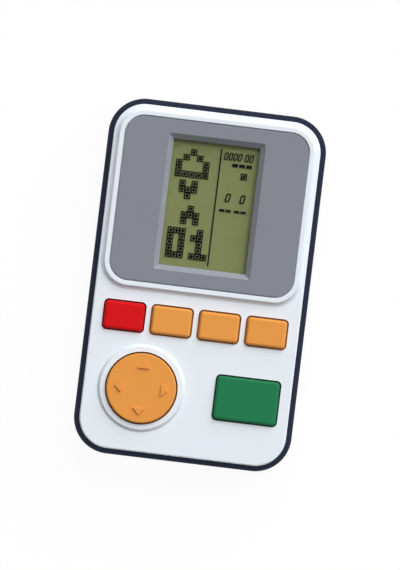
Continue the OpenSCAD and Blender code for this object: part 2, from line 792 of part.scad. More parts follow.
module circuit_board() {
    mid = (board_y0 + board_y1) / 2;
    color(board_green) difference() {
        translate([0, mid, board_under])
            slab(front_in_w - 2 * board_gap, board_y1 - board_y0, board_r, board_t);
        for (p = board_screw_xy) column(p, board_screw_d + 3 * fit, board_under - cut, board_z + cut);
        column([disc_x, disc_y], 2 * post_hole_r, board_under - cut, board_z + cut);
        boss_notches();
    }
}

module chip_blob() {
    ball = (blob_d * blob_d / 4 + blob_h * blob_h) / (2 * blob_h);
    color(black) translate([chip_x, chip_y, board_under]) intersection() {
        translate([0, 0, ball - blob_h]) sphere(ball);
        column([0, 0], blob_d + cut, -blob_h - cut, 0);
    }
}

module capacitor() {
    rim = cap_d / 12;
    color(blue) translate([cap_x, cap_y, board_under - cap_d / 2])
        rotate([0, 90, 0]) rotate_extrude() difference() {
            edge(cap_d / 2, cap_l, rim, rim);
            translate([cap_d / 2, cap_l - 3 * rim]) circle(rim);
        }
}

module resistors() {
    rim = resistor_d / 4;
    y1 = resistor_y + resistor_l / 2;
    color(tan_body) for (i = [0:2])
        translate([resistor_x + 2 * i * resistor_d, y1, board_under - resistor_d / 2])
            rotate([90, 0, 0]) rotate_extrude() edge(resistor_d / 2, resistor_l, rim, rim);
}

module dome(at) {
    translate([at.x, at.y, board_z + mat_t]) cylinder(d1 = dome_d, d2 = dome_top_d, h = dome_h);
}

module key_mat() {
    w = front_in_w - 2 * (board_gap + mat_border);
    y0 = board_y0 + mat_border;
    y1 = row_y + key_l / 2 + mat_border;
    disc_domes = [for (a = [0:90:270]) [disc_x + arrow_at * cos(a), disc_y + arrow_at * sin(a)]];
    row_domes = [for (i = [0:3]) [(i - 1.5) * key_pitch, row_y]];
    domes = concat(disc_domes, row_domes, [[action_x, action_y]]);
    color(silicone) difference() {
        union() {
            translate([0, (y0 + y1) / 2, board_z]) slab(w, y1 - y0, board_r, mat_t);
            for (p = domes) dome(p);
        }
        for (p = domes) column(p, dome_top_d - 4 * fit, board_z - cut, board_z + mat_t + dome_h / 3);
        for (p = board_screw_xy) column(p, board_boss_d + 4 * fit, board_z - cut, inner_z);
        column([disc_x, disc_y], 2 * post_hole_r, board_z - cut, inner_z);
        boss_notches();
    }
}

module key(x, y, w, l) {
    edge_w = 2 * (key_gap + flange_w);
    translate([x, y, 0]) {
        translate([0, 0, flange_z]) slab(w, l, key_r, key_top - flange_z, key_fillet);
        translate([0, 0, flange_z]) slab(w + edge_w, l + edge_w, key_r + key_gap + flange_w, flange_t);
        translate([0, 0, stem_z]) cylinder(d = stem_d, h = stem_h + flange_t / 2);
    }
}

module row_key(i, tint) {
    color(tint) key((i - 1.5) * key_pitch, row_y, key_w, key_l);
}

module power_key() {
    row_key(0, red);
}

module sound_key() {
    row_key(1, orange);
}

module start_key() {
    row_key(2, orange);
}

module reset_key() {
    row_key(3, orange);
}

module action_key() {
    color(green) key(action_x, action_y, action_w, action_l);
}

// Raised arrowhead that points away from the middle of the disc
module arrowhead() {
    base = arrow_at - arrow_l / 2;
    corners = [
        [base + arrow_r, arrow_r - arrow_w / 2], [base + arrow_r, arrow_w / 2 - arrow_r],
        [base + arrow_l - arrow_r, 0]
    ];
    hull() for (p = corners) translate(p) cylinder(r1 = arrow_r, r2 = arrow_r / 2, h = 2 * arrow_h, $fn = 24);
}

module direction_disc() {
    hub_z = post_z + post_gap;
    color(orange) translate([disc_x, disc_y, 0]) difference() {
        union() {
            translate([0, 0, disc_flange_z]) rotate_extrude()
                edge(disc_r, disc_top_z - disc_flange_z, disc_fillet, 0);
            column([0, 0], 2 * disc_flange_r, disc_flange_z, disc_flange_z + flange_t);
            for (a = [0:90:270]) rotate(a) translate([0, 0, disc_top_z - arrow_h]) arrowhead();
        }
        translate([0, 0, ball_z]) sphere(socket_r);
        column([0, 0], 2 * socket_r, hub_z - cut, ball_z);
        column([0, 0], 2 * post_hole_r, disc_flange_z - cut, hub_z);
    }
}

module pivot_ball() {
    color(steel) translate([disc_x, disc_y, ball_z]) sphere(d = ball_d);
}

// Cell with its tip at +X
module cell() {
    body_len = cell_l - tip_l;
    rim = cell_d / 20;
    rotate([0, 90, 0]) translate([0, 0, -cell_l / 2]) rotate_extrude() {
        edge(cell_d / 2, body_len, rim, rim);
        edge(tip_d / 2, cell_l, tip_l / 4, 0);
    }
}

module battery_cell_a() {
    color(brass) translate([cell_shift, cell_a_y, cell_z]) cell();
}

module battery_cell_b() {
    color(brass) translate([-cell_shift, cell_b_y, cell_z]) rotate(180) cell();
}

// Contact plate at the +X end of the bay, from y0 to y1
module plate(y0, y1, z0, z1) {
    block([bay_half - contact_t, y0, z0], [bay_half, y1, z1]);
}

module bump(y) {
    translate([bay_half - contact_t, y, cell_z]) rotate([0, -90, 0])
        cylinder(d1 = bump_d, d2 = bump_d / 2, h = bump_h);
}

module positive_contact() {
    color(nickel) {
        plate(cell_a_y - contact_w / 2, cell_a_y + contact_w / 2, plate_z0, plate_z1);
        plate(tail_y, cell_a_y, plate_z1 - 2 * tail_h, plate_z1 - tail_h);
        bump(cell_a_y);
    }
}

module negative_contact() {
    color(nickel) {
        plate(cell_b_y - contact_w / 2, cell_b_y + contact_w / 2, plate_z0, tail_z1);
        plate(tail_y, cell_b_y, tail_z1 - tail_h, tail_z1);
    }
}

module bridge_contact() {
    color(nickel) mirror([1, 0, 0]) {
        plate(cell_a_y - contact_w / 2, cell_b_y + contact_w / 2, plate_z0, plate_z1);
        bump(cell_b_y);
    }
}

// Conical spring along X: a straight end, the turns and a straight end
spring_steps = 8;
spring_run = spring_l - 2 * wire_d;
spring_path = concat(
    [[0, spring_d / 2, 0], [wire_d / 2, spring_d / 2, 0]],
    [for (i = [0:spring_steps * spring_turns])
        let (s = i / (spring_steps * spring_turns), a = 360 * spring_turns * s)
        let (r = (spring_d + (spring_tip_d - spring_d) * s) / 2)
            [wire_d + spring_run * s, r * cos(a), r * sin(a)]],
    [[spring_l - wire_d / 2, spring_tip_d / 2, 0], [spring_l, spring_tip_d / 2, 0]]
);
spring_gaps = [
    for (i = [0:len(spring_path) - 1], k = [i + spring_steps - 2:1:len(spring_path) - 1])
        norm(spring_path[i] - spring_path[k]) - wire_d
];
echo(least_gap_between_spring_turns = min(spring_gaps));

module contact_springs() {
    color(steel) {
        translate([bay_half - contact_t, cell_b_y, cell_z]) rotate(180) tube(spring_path, wire_d, 6);
        translate([contact_t - bay_half, cell_a_y, cell_z]) tube(spring_path, wire_d, 6);
    }
}

module buzzer() {
    z = back_wall + buzzer_ring_h;
    color(brass) translate([buzzer_x, buzzer_y, z]) {
        cylinder(d = buzzer_d, h = buzzer_t);
        cylinder(d = ceramic_d, h = buzzer_t + ceramic_t);
    }
}

// A lead through a list of points, with straight ends
module lead(start, points, end) {
    tube(concat([start], spline(points, 4), [end]), lead_d, 8);
}

// The battery leads lie against their contacts, or against the front shell where that is nearer
module battery_leads() {
    x0 = min(bay_half - contact_t, front_in_w / 2) - lead_d / 2 - solder_gap;
    y1 = tail_y - 2 * lead_d;
    for (low = [0, 1]) color(low ? red : black) {
        z0 = low ? plate_z1 - 1.5 * tail_h : tail_z1 - tail_h / 2;
        x1 = x0 - (1 + 2 * low) * lead_end;
        lead([x0, tail_y + lead_d, z0], [
            [x0, tail_y, z0], [x0 - lead_d / 4, tail_y - lead_d, z0], [x1, y1, board_under - lead_end]
        ], [x1, y1, board_under - solder_gap]);
    }
}

module buzzer_leads() {
    z0 = back_wall + buzzer_ring_h + buzzer_t + ceramic_t + solder_gap;
    x0 = ceramic_d / 4;
    color(black) for (s = [-1, 1]) translate([buzzer_x, buzzer_y, 0])
        lead([s * x0, 0, z0], [
            [s * x0, 0, z0 + lead_end], [s * (x0 + lead_d), lead_d, (z0 + board_under) / 2],
            [s * x0, 2 * lead_d, board_under - lead_end]
        ], [s * x0, 2 * lead_d, board_under - solder_gap]);
}

// Pan head screw that points up, with its seat at z = 0
module screw(d, l, head, h) {
    difference() {
        union() {
            translate([0, 0, -h]) rotate_extrude() edge(head / 2, h, 0, h / 2);
            cylinder(d = d, h = l);
        }
        for (a = [0, 90]) rotate(a)
            block([-head / 4, -head / 14, -h - cut], [head / 4, head / 14, cross_depth - h]);
    }
}

module case_screws() {
    color(steel) for (p = case_screw_xy) translate([p.x, p.y, head_z])
        screw(screw_d, screw_l, head_d, head_h);
}

module board_screws() {
    color(steel) for (p = board_screw_xy) translate([p.x, p.y, board_under])
        screw(board_screw_d, board_t + board_bite, board_head_d, board_head_h);
}

rear_shell();
front_shell();
battery_door();
screen_panel();
screen_window();
lcd_glass();
lcd_pad();
zebra_strip();
circuit_board();
chip_blob();
capacitor();
resistors();
key_mat();
power_key();
sound_key();
start_key();
reset_key();
action_key();
direction_disc();
pivot_ball();
battery_cell_a();
battery_cell_b();
positive_contact();
negative_contact();
bridge_contact();
contact_springs();
buzzer();
battery_leads();
buzzer_leads();
case_screws();
board_screws();
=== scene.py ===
# %% [markdown]
# # A pocket console with a block display
#
# The object is a small battery console: a navy rear shell, a white front shell with a raised
# surround, a grey panel with a sloping window, an olive display, five push keys and a round
# direction disc that rocks on a ball.
#
# The CAD frame already holds every rigid piece at its real size, with smooth normals. This script
# leaves those solids where they are and gives each one the finish of its real material. It draws
# three of them anew: the display out of its thin layers, the battery springs as smooth coils and
# the key mat as a sheet with separate domes. It also sets up the light and the camera of the
# photograph.

# %% Load the frame
import math

import bpy
import numpy as np
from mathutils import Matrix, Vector


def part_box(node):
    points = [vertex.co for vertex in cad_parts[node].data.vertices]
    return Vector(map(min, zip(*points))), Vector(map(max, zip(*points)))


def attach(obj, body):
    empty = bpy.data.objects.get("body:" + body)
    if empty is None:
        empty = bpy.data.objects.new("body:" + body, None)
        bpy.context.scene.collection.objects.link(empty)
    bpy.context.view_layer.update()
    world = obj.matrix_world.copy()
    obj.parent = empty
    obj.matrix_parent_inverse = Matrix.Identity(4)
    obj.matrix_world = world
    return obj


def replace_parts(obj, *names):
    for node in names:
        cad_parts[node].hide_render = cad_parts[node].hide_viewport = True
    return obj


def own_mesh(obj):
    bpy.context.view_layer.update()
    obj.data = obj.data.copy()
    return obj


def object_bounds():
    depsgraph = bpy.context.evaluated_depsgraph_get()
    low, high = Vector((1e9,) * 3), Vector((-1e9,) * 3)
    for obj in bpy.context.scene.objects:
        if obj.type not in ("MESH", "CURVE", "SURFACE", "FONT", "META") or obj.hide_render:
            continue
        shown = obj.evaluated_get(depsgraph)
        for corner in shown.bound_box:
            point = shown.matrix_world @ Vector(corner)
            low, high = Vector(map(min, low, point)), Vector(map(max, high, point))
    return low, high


MM = 0.001
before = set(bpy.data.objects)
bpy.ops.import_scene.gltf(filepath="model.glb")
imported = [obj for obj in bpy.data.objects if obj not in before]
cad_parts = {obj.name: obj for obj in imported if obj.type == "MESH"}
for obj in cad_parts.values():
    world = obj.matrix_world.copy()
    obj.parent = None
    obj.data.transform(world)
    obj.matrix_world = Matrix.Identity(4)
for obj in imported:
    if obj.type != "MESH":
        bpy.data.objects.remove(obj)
cad_low, cad_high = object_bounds()
scene = bpy.context.scene
size_mm = [round(x / MM, 2) for x in cad_high - cad_low]
print("frame:", len(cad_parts), "nodes,", size_mm, "mm")

# %% [markdown]
# ## Camera
#
# The photograph looks straight down on the face and shows no perspective, so the lens is extremely
# long. The body lies 6.93 degrees clockwise in the picture. Turning the camera by that angle keeps
# the object square to the axes. One millimetre of the body's outline covers 3.957 pixels, which
# fixes the distance: what the sensor sees there is as tall as the picture.

# %% Camera
PHOTO_H = 570
PX_PER_MM = 3.957
TURN = math.radians(6.93)
LENS_MM = 900
SENSOR_MM = 36
CLIP_DISTANCES = 10

outline_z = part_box("rear_shell")[1].z
distance = LENS_MM / SENSOR_MM * PHOTO_H / PX_PER_MM * MM
camera = bpy.data.objects.new("camera", bpy.data.cameras.new("camera"))
scene.collection.objects.link(camera)
camera.data.lens = LENS_MM
camera.data.sensor_width = SENSOR_MM
camera.data.clip_end = CLIP_DISTANCES * distance
camera.location = (0, 0, outline_z + distance)
camera.rotation_euler = (0, 0, TURN)
scene.camera = camera
print(f"camera: {distance:.3f} m above the seam")

# %% [markdown]
# ## One function for nodes, one for colours
#
# Every finish below is a short chain of shader nodes. `add` puts one node into a tree, sets its own
# properties and fills its inputs with values or with links. Colours are written as the hex values
# that a colour picker shows. Blender works with linear light, so `linear` undoes the sRGB curve.

# %% One function for nodes, one for colours
def linear(hex_colour):
    """sRGB hex to linear RGBA: each channel c becomes ((c + 0.055) / 1.055) ** 2.4, or c / 12.92
    near black."""
    srgb = np.array([int(hex_colour[i:i + 2], 16) for i in (1, 3, 5)]) / 255
    curve = np.where(srgb <= 0.04045, srgb / 12.92, ((srgb + 0.055) / 1.055) ** 2.4)
    return (*map(float, curve), 1.0)


def add(tree, kind, inputs=None, **settings):
    """Adds a node. settings are its own properties, and inputs maps a socket to a value or to
    another node's output."""
    made = tree.nodes.new("ShaderNode" + kind)
    for name, value in settings.items():
        setattr(made, name, value)
    for name, value in (inputs or {}).items():
        if isinstance(value, bpy.types.NodeSocket):
            tree.links.new(value, made.inputs[name])
        else:
            made.inputs[name].default_value = value
    return made


# %% [markdown]
# A few steps come back in nearly every finish: a noise of a given size, a colour or a number that
# follows it, and a relief. Each gets a name, so that a finish reads as a list of what its surface
# does. `surface` closes the chain, and `paint` puts the result on CAD pieces.

# %% Steps that finishes share
def new_finish(name):
    """An empty node material, its tree, and object coordinates for its patterns."""
    material = bpy.data.materials.new(name)
    material.use_nodes = True
    material.node_tree.nodes.clear()
    return material, material.node_tree, add(material.node_tree, "TexCoord").outputs["Object"]


def reckon(tree, operation, a, b=0.0):
    """Result of one calculation on one or two numbers."""
    return add(tree, "Math", {0: a, 1: b}, operation=operation).outputs[0]


def along(tree, place, way):
    """How far a place lies along a direction: their dot product."""
    product = add(tree, "VectorMath", {0: place, 1: way}, operation="DOT_PRODUCT")
    return product.outputs["Value"]


def noise(tree, place, size, detail):
    """Noise from 0 to 1 with spots of about this size."""
    return add(tree, "TexNoise", {"Vector": place, "Scale": 1 / size, "Detail": detail}).outputs[0]


def squeezed(tree, place, scale):
    """Coordinates times scale. A pattern grows long along an axis whose scale is small."""
    return add(tree, "Mapping", {"Vector": place, "Scale": scale}).outputs[0]


def blend(tree, share, low, high):
    """The colour low where share is 0 and high where it is 1."""
    return add(tree, "Mix", {0: share, 6: low, 7: high}, data_type="RGBA").outputs[2]


def between(tree, share, low, high):
    """The number low where share is 0 and high where it is 1."""
    return add(tree, "MapRange", {"Value": share, "To Min": low, "To Max": high}).outputs[0]


def raised(tree, height, depth, invert=False):
    """Normals of a surface that a pattern lifts by up to depth, or lowers if invert is set."""
    return add(tree, "Bump", {"Height": height, "Distance": depth}, invert=invert).outputs[0]


def surface(material, inputs):
    """Closes a finish with one Principled BSDF that has these inputs."""
    skin = add(material.node_tree, "BsdfPrincipled", inputs)
    add(material.node_tree, "OutputMaterial", {"Surface": skin.outputs[0]})
    return material


def paint(material, *names):
    """Gives CAD nodes this material in all their slots."""
    for name in names:
        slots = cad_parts[name].data.materials
        slots.clear()
        slots.append(material)
    print(f"{material.name}: {', '.join(names)}")


# %% [markdown]
# ## Light
#
# The walls that face the lower left are dark, those that face the upper right are bright, and the
# shadows are short, pale and soft: a very broad lamp at the upper right. A sun with a wide angle
# gives that light evenly over the whole body. The rest comes from the surroundings, brightest
# overhead and dark near the horizon, as under a large diffuser that leans a little towards the
# lamp. The two add up to about 1 on a level surface, so that a colour renders as it is written.
#
# Reflections show one even white studio. It stands for the lamp as well, so the lamp itself is left
# out of them.

# %% Light
LAMP_SHARE = 0.59
LAMP_HEIGHT = math.radians(40)
LAMP_TURN = math.radians(61)
LAMP_SPREAD = math.radians(64)
SKY_TOP = 1.23
SKY_LEAN = math.radians(20)
SKY_POWER = 4.0


def seen(tree):
    """1 for rays that show the surroundings themselves: from the camera, in a reflection or
    through glass."""
    path = add(tree, "LightPath").outputs
    mirrored = reckon(tree, "MAXIMUM", path["Is Glossy Ray"], path["Is Transmission Ray"])
    return reckon(tree, "MAXIMUM", path["Is Camera Ray"], mirrored)


def direction(turn, height):
    """Unit vector at an azimuth and a height above the horizon."""
    level = math.cos(height)
    return Vector((level * math.cos(turn), level * math.sin(turn), math.sin(height)))


scene.view_settings.view_transform = "Standard"
scene.world = bpy.data.worlds.new("white_studio")
scene.world.use_nodes = True
tree = scene.world.node_tree
tree.nodes.clear()
brightest = direction(LAMP_TURN, math.pi / 2 - SKY_LEAN)
facing = along(tree, add(tree, "TexCoord").outputs["Generated"], brightest)
focus = reckon(tree, "POWER", reckon(tree, "MAXIMUM", facing, 0.0), SKY_POWER)
strength = between(tree, seen(tree), reckon(tree, "MULTIPLY", focus, SKY_TOP), 1.0)
sky = add(tree, "Background", {"Color": linear("#FFFFFF"), "Strength": strength})
add(tree, "OutputWorld", {"Surface": sky.outputs[0]})

lamp = bpy.data.objects.new("broad_lamp", bpy.data.lights.new("broad_lamp", "SUN"))
scene.collection.objects.link(lamp)
lamp.data.angle = LAMP_SPREAD
lamp.data.energy = math.pi * LAMP_SHARE / math.sin(LAMP_HEIGHT)
lamp.visible_glossy = False
lamp.rotation_euler = direction(LAMP_TURN, LAMP_HEIGHT).to_track_quat("Z", "Y").to_euler()
print(f"light: sun {lamp.data.energy:.2f}, surroundings up to {SKY_TOP}")

# %% [markdown]
# ## Floor
#
# The floor is white paper. Seen by the camera, part of it shines by itself, which lifts it to the
# photograph's white and leaves a pale shadow. Its underside lets everything through, so that the
# back can be seen from below.

# %% Floor
FLOOR_HALF = 3.0
FLOOR_GAP = 0.1 * MM
FLOOR_GLOW = 0.95

signs = np.array([(-1, -1), (1, -1), (1, 1), (-1, 1)])
corners = np.insert(FLOOR_HALF * signs, 2, cad_low.z - FLOOR_GAP, axis=1)
floor_mesh = bpy.data.meshes.new("floor")
floor_mesh.from_pydata(corners.tolist(), [], [(0, 1, 2, 3)])
floor = bpy.data.objects.new("floor", floor_mesh)
scene.collection.objects.link(floor)

white_paper, tree, _ = new_finish("white_paper")
paper = add(tree, "BsdfDiffuse", {"Color": linear("#FAFAFA")}).outputs[0]
glow = add(tree, "Emission", {"Color": linear("#FFFFFF")}).outputs[0]
share = reckon(tree, "MULTIPLY", seen(tree), FLOOR_GLOW)
top = add(tree, "MixShader", {0: share, 1: paper, 2: glow}).outputs[0]
clear = add(tree, "BsdfTransparent").outputs[0]
below = add(tree, "NewGeometry").outputs["Backfacing"]
both = add(tree, "MixShader", {0: below, 1: top, 2: clear}).outputs[0]
add(tree, "OutputMaterial", {"Surface": both})
floor_mesh.materials.append(white_paper)
print(f"floor: {2 * FLOOR_HALF:.0f} m square, {FLOOR_GAP / MM} mm under the part")

# %% [markdown]
# ## Plastics and rubbers of one colour
#
# Shells, panel and keys are injection moulded ABS. The mould's surface decides what the eye gets:
# spark erosion leaves a fine even grain that scatters the gloss, fine stoning leaves a satin skin.
# Pigment never spreads quite evenly, so the colour drifts a little over a centimetre. One function
# makes them all from four things: the colour and its drift, the size and depth of the grain, the
# roughness and how much gloss the grain lets through. Real grain is finer than a pixel here, so it
# is drawn at about half a millimetre.
#
# Two pieces need one thing more. In the deep grain of the navy shell light bounces twice before it
# leaves and takes up the pigment, so even its gloss is blue. The panel's window slope is painted
# paler below the face: a painted highlight that stands for the light the slope catches.

# %% Plastics and rubbers of one colour
PLASTIC_IOR = 1.54
PIGMENT_CLOUD = 14 * MM
GRAIN_SWING = 0.06
SLOPE_BELOW_FACE = 0.05 * MM


def pigmented(name, tint, drift, grain_mm, depth_mm, roughness, gloss,
              gloss_tint="#FFFFFF", painted_slope_highlight=None):
    """Two noises: one of centimetres moves the colour from tint to drift, one of grain size lifts
    the surface and moves the roughness. The last argument, a height and a tint, paints a paler
    tint below that height: a painted highlight."""
    material, tree, place = new_finish(name)
    cloud = noise(tree, place, PIGMENT_CLOUD, 3.0)
    colour = blend(tree, cloud, linear(tint), linear(drift))
    # painted highlight: below the given height the colour turns paler, standing for light caught
    # there
    if painted_slope_highlight:
        limit, slope_highlight_tint = painted_slope_highlight
        height = add(tree, "SeparateXYZ", {0: place}).outputs["Z"]
        below = reckon(tree, "LESS_THAN", height, limit)
        colour = blend(tree, below, colour, linear(slope_highlight_tint))
    grain = noise(tree, place, grain_mm * MM, 2.0)
    return surface(material, {
        "Base Color": colour,
        "Roughness": between(tree, grain, roughness - GRAIN_SWING, roughness + GRAIN_SWING),
        "Normal": raised(tree, grain, depth_mm * MM),
        "IOR": PLASTIC_IOR, "Specular IOR Level": gloss, "Specular Tint": linear(gloss_tint),
    })


# spark-eroded navy: dull and dark, with a blue bloom and a grain that shows where light grazes it
navy = pigmented("navy_abs_spark_eroded", "#131722", "#161B28", 0.5, 0.006, 0.50, 0.52,
                 gloss_tint="#BCC4F2")
paint(navy, "rear_shell", "battery_door")
# stoned white: clean and bright, slightly cool
white = pigmented("white_abs_stoned", "#E5ECF2", "#E3E9F0", 0.6, 0.004, 0.42, 0.30)
paint(white, "front_shell")
# stoned grey: a satin plate; below the face its window slope gets a painted highlight, a paler tint
slope_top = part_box("screen_panel")[1].z - SLOPE_BELOW_FACE
grey = pigmented("grey_abs_stoned", "#7F828B", "#7C7F88", 0.5, 0.004, 0.38, 0.44,
                 painted_slope_highlight=(slope_top, "#9397A0"))
paint(grey, "screen_panel")
# stoned keys: saturated pigment with a soft sheen on the rounded edges
red = pigmented("red_abs_stoned", "#D51216", "#CF1015", 0.5, 0.004, 0.36, 0.08)
paint(red, "power_key")
orange = pigmented("orange_abs_stoned", "#E59947", "#E29543", 0.5, 0.004, 0.40, 0.16)
paint(orange, "sound_key", "start_key", "reset_key", "direction_disc")
green = pigmented("green_abs_stoned", "#22794E", "#1F754B", 0.5, 0.004, 0.40, 0.10)
paint(green, "action_key")
# closed-cell foam: black and full of tiny bubbles
foam = pigmented("closed_cell_foam", "#2B2B2D", "#333335", 0.5, 0.06, 0.85, 0.10)
paint(foam, "lcd_pad")
# cast silicone: pale, milky and dull; the key mat below is made of it
silicone = pigmented("cast_silicone", "#C4C4BE", "#BDBDB6", 0.8, 0.004, 0.60, 0.30)
# cast resin: a black drop, smooth as it set
resin = pigmented("cast_epoxy_resin", "#0E0E10", "#141416", 2.0, 0.004, 0.22, 0.50)
paint(resin, "chip_blob")
# extruded vinyl: a soft, even skin
vinyl = pigmented("extruded_black_vinyl", "#151516", "#1C1C1E", 0.6, 0.004, 0.40, 0.35)
paint(vinyl, "buzzer_leads")

# %% [markdown]
# ## Pieces with bands
#
# Cells, resistors, the capacitor and the zebra strip show their colours in bands along one
# direction, and so do the battery leads (one red, one black) and the buzzer (brass below, ceramic
# on top). One function covers all of them: the place along that direction goes from 0 to 1 into a
# ramp with hard steps, and the ramp's alpha marks bare metal.

# %% Pieces with bands
WEAR_SPOT = 2 * MM
WEAR_SWING = 0.08


def banded(name, way, start, length, bands, roughness, repeat=False):
    """bands holds (place, colour, metal). The place is way . p - start, divided by length, or the
    fraction of that. Worn spots of 2 mm move the roughness."""
    material, tree, place = new_finish(name)
    share = add(tree, "MapRange", {
        "Value": along(tree, place, way), "From Min": start, "From Max": start + length,
    }, clamp=not repeat).outputs[0]
    ramp = add(tree, "ValToRGB", {0: reckon(tree, "FRACT", share) if repeat else share})
    ramp.color_ramp.interpolation = "CONSTANT"
    stops = ramp.color_ramp.elements
    for i, (at, colour, metal) in enumerate(bands):
        stop = stops[i] if i < 2 else stops.new(at)
        stop.position = at
        stop.color = (*linear(colour)[:3], metal)
    wear = noise(tree, place, WEAR_SPOT, 4.0)
    return surface(material, {
        "Base Color": ramp.outputs["Color"], "Metallic": ramp.outputs["Alpha"],
        "Roughness": between(tree, wear, roughness - WEAR_SWING, roughness + WEAR_SWING),
    })


# %% [markdown]
# The two cells lie head to tail, so the bands of the second one run the other way. Real zebra rubber
# repeats every 0.1 mm and is drawn four times as coarse. Of the battery leads the black one lies
# outside and above the red one, so x + z tells them apart.

# %% Cells
STEEL, JACKET, BAND = ("#C2C4C7", 1), ("#C2AD7A", 1), ("#3A3C42", 0)
CELL_BANDS = [
    (0, *STEEL), (0.02, *JACKET), (0.70, *BAND), (0.74, *JACKET), (0.78, *BAND), (0.96, *STEEL),
]

for cell, sign in (("battery_cell_a", 1), ("battery_cell_b", -1)):
    low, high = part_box(cell)
    foot = low.x if sign > 0 else -high.x
    # shrunk film over a steel can: glossy colour between bare metal ends
    film = banded(f"shrunk_film_{cell[-1]}", (sign, 0, 0), foot, high.x - low.x, CELL_BANDS, 0.30)
    paint(film, cell)

# %% Small electric pieces
BODY = ("#CDB08A", 0)
RINGS = [
    (0, *BODY), (0.18, "#6B3A1C", 0), (0.27, *BODY), (0.36, "#151515", 0), (0.45, *BODY),
    (0.54, "#B3241C", 0), (0.63, *BODY), (0.76, "#B58B3C", 1), (0.85, *BODY),
]
SLEEVE = ("#1B2C66", 0)
STRIPE = [(0, *SLEEVE), (0.40, "#C9CCD4", 0), (0.60, *SLEEVE)]
LAYERS = [(0, "#222224", 0), (0.5, "#CF8F99", 0)]
ZEBRA_PITCH = 0.4 * MM
RED_AND_BLACK = [(0, "#B3201D", 0), (0.5, "#18181A", 0)]
LEAD_SPLIT = 32.25 * MM
BRASS_AND_CERAMIC = [(0, "#C9A45C", 1), (0.64, "#D9D6CC", 0)]

# dipped lacquer: glossy tan beads with painted rings
low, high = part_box("resistors")
lacquer = banded("dipped_lacquer", (0, 1, 0), low.y, high.y - low.y, RINGS, 0.30)
paint(lacquer, "resistors")
# shrunk vinyl: dark blue with the pale stripe that marks one side
low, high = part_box("capacitor")
sleeve = banded("shrunk_vinyl_sleeve", (0, 1, 0), low.y, high.y - low.y, STRIPE, 0.30)
paint(sleeve, "capacitor")
# sliced sandwich of carbon and pink silicone: dull stripes across the strip
zebra = banded("sliced_zebra_rubber", (1, 0, 0), 0.0, ZEBRA_PITCH, LAYERS, 0.60, repeat=True)
paint(zebra, "zebra_strip")
# extruded vinyl: a soft, even skin on both leads
leads = banded("extruded_red_and_black_vinyl", (1, 0, 1), 0.0, 2 * LEAD_SPLIT, RED_AND_BLACK, 0.42)
paint(leads, "battery_leads")
# rolled brass with a fired ceramic disc on it: warm metal under a dull white
low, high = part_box("buzzer")
piezo = banded("rolled_brass_with_ceramic", (0, 0, 1), low.z, high.z - low.z,
               BRASS_AND_CERAMIC, 0.35)
paint(piezo, "buzzer")

# %% [markdown]
# ## Bare metal
#
# Drawing, rolling and turning all leave lines along one direction, which stretch every highlight
# across them. A noise squeezed along the other directions gives those lines. The plating keeps them
# and makes them shine. A ground ball has no such direction, so its noise stays even.

# %% Bare metal
LINE_W = 0.3 * MM
LINE_DEPTH = 0.004 * MM
LINE_SWING = 0.08
EVEN, UPRIGHT = (1, 1, 1), (1, 1, 0.1)


def worked_metal(name, tint, drift, squeeze, roughness):
    """Metal with a noise of 0.3 mm stretched by squeeze, which moves the colour, the roughness and
    the height."""
    material, tree, place = new_finish(name)
    lines = noise(tree, squeezed(tree, place, squeeze), LINE_W, 3.0)
    return surface(material, {
        "Base Color": blend(tree, lines, linear(tint), linear(drift)), "Metallic": 1.0,
        "Roughness": between(tree, lines, roughness - LINE_SWING, roughness + LINE_SWING),
        "Normal": raised(tree, lines, LINE_DEPTH),
    })


# ground steel: a bright ball
paint(worked_metal("ground_steel", "#C9CBCE", "#BDBFC3", EVEN, 0.20), "pivot_ball")
# headed steel: greyer, with the marks of the die
headed = worked_metal("headed_steel", "#B4B6BA", "#A4A6AB", UPRIGHT, 0.34)
paint(headed, "case_screws", "board_screws")
# nickel on punched sheet: a warm white shine
nickel = worked_metal("nickel_on_punched_sheet", "#CFC9BC", "#C2BBAD", UPRIGHT, 0.26)
paint(nickel, "positive_contact", "negative_contact", "bridge_contact")

# %% [markdown]
# ## Circuit board
#
# Glass-fibre laminate under green solder mask. Copper tracks lie under the mask and show as paler,
# slightly raised lanes. A brick pattern of 1.2 mm by 6 mm gives lanes that run along the board and
# break off like real tracks.

# %% Circuit board
TRACK_H = 0.03 * MM
WEAVE = 0.8 * MM


def masked_laminate(name, mask, lane):
    """Brick rows are tracks, mortar is bare mask. The pattern moves the colour and lifts the tracks
    by 0.03 mm, and the weave of the glass moves the roughness."""
    material, tree, place = new_finish(name)
    tracks = add(tree, "TexBrick", {
        "Vector": place, "Color1": linear(lane), "Color2": linear(lane), "Mortar": linear(mask),
        "Scale": 1 / MM, "Mortar Size": 0.3, "Brick Width": 6.0, "Row Height": 1.2,
    }).outputs
    return surface(material, {
        "Base Color": tracks["Color"],
        "Roughness": between(tree, noise(tree, place, WEAVE, 2.0), 0.28, 0.42),
        "Normal": raised(tree, tracks["Fac"], TRACK_H, invert=True),
    })


# solder mask over copper: glossy green with paler lanes
paint(masked_laminate("solder_masked_laminate", "#1C4A2B", "#2C6A3E"), "circuit_board")

# %% [markdown]
# ## Clear window
#
# A polished acrylic plate lies under the panel. Polished acrylic is nearly invisible from the
# front: it lets the light through and gives back a faint reflection. A low alpha does that and
# still lets the light reach the display below it. The plate itself scatters nothing, so its own
# colour is nearly black. Small differences in roughness stand for the haze that fingers leave.

# %% Clear window
CLEAR_TINT = "#0C100E"
HAZE_SPOT = 6 * MM
ACRYLIC_ALPHA, ACRYLIC_IOR = 0.05, 1.49


def clear_sheet(name, alpha, ior):
    """A see-through skin: mostly transparent, with a noise of 6 mm that varies its roughness."""
    material, tree, place = new_finish(name)
    haze = noise(tree, place, HAZE_SPOT, 4.0)
    return surface(material, {
        "Base Color": linear(CLEAR_TINT), "Alpha": alpha,
        "Roughness": between(tree, haze, 0.03, 0.14), "IOR": ior,
    })


# polished acrylic: hardly there, but for a faint reflection
paint(clear_sheet("clear_acrylic_polished", ACRYLIC_ALPHA, ACRYLIC_IOR), "screen_window")

